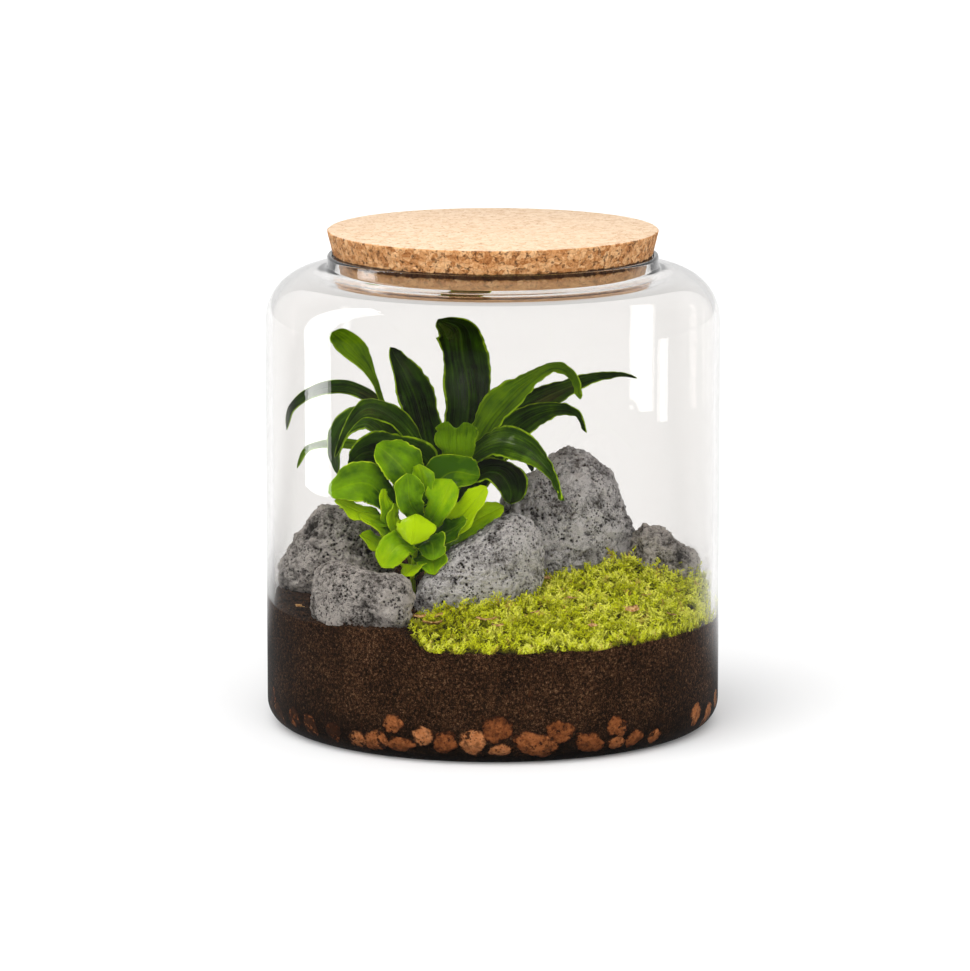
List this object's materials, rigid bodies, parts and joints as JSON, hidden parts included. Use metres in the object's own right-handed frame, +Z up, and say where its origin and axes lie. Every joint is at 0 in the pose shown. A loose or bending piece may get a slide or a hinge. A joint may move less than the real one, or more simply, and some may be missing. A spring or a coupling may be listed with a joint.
{
  "type": "closed plant terrarium",
  "caption": "Closed glass terrarium with a cork lid: clay pebbles, dark soil, grey lava stones, a moss carpet, a dark strap-leaved plant and a small bright green plant.",
  "frame": {"origin": "centre of the jar's foot, on the surface it stands on", "axes": "+Z up along the jar's axis, -Y towards the pictured front"},
  "size_m": [0.21, 0.21, 0.2299],
  "materials": {
    "glass": "clear",
    "cork": "matte",
    "soil": "matte",
    "clay": "matte",
    "stone": "matte",
    "moss": "matte",
    "dark_leaf": "satin",
    "stem": "matte",
    "bright_leaf": "satin"
  },
  "bodies": {
    "root": {"glass_jar": "glass", "cork_lid": "cork", "stone_left_back": "stone", "stone_left_front": "stone", "stone_middle": "stone", "stone_peak": "stone", "stone_right": "stone", "clay_pebbles": "clay", "soil": "soil", "moss_carpet": "moss", "dark_plant_stem": "stem", "dark_leaf_tall": "dark_leaf", "dark_leaf_second": "dark_leaf", "dark_leaf_spoon": "dark_leaf", "dark_leaf_far_left": "dark_leaf", "dark_leaf_low_left": "dark_leaf", "dark_leaf_arching": "dark_leaf", "dark_leaf_left": "dark_leaf", "dark_leaf_front_left": "dark_leaf", "dark_leaf_small_front": "dark_leaf", "dark_leaf_right_tall": "dark_leaf", "dark_leaf_far_right": "dark_leaf", "dark_leaf_right": "dark_leaf", "dark_leaf_front_right": "dark_leaf", "dark_leaf_low_right": "dark_leaf", "dark_leaf_back_left": "dark_leaf", "dark_leaf_back": "dark_leaf", "dark_leaf_back_right": "dark_leaf", "dark_leaf_back_low": "dark_leaf", "bright_shoot_left": "bright_leaf", "bright_shoot_middle": "bright_leaf", "bright_shoot_front": "bright_leaf"}
  },
  "joints": []
}
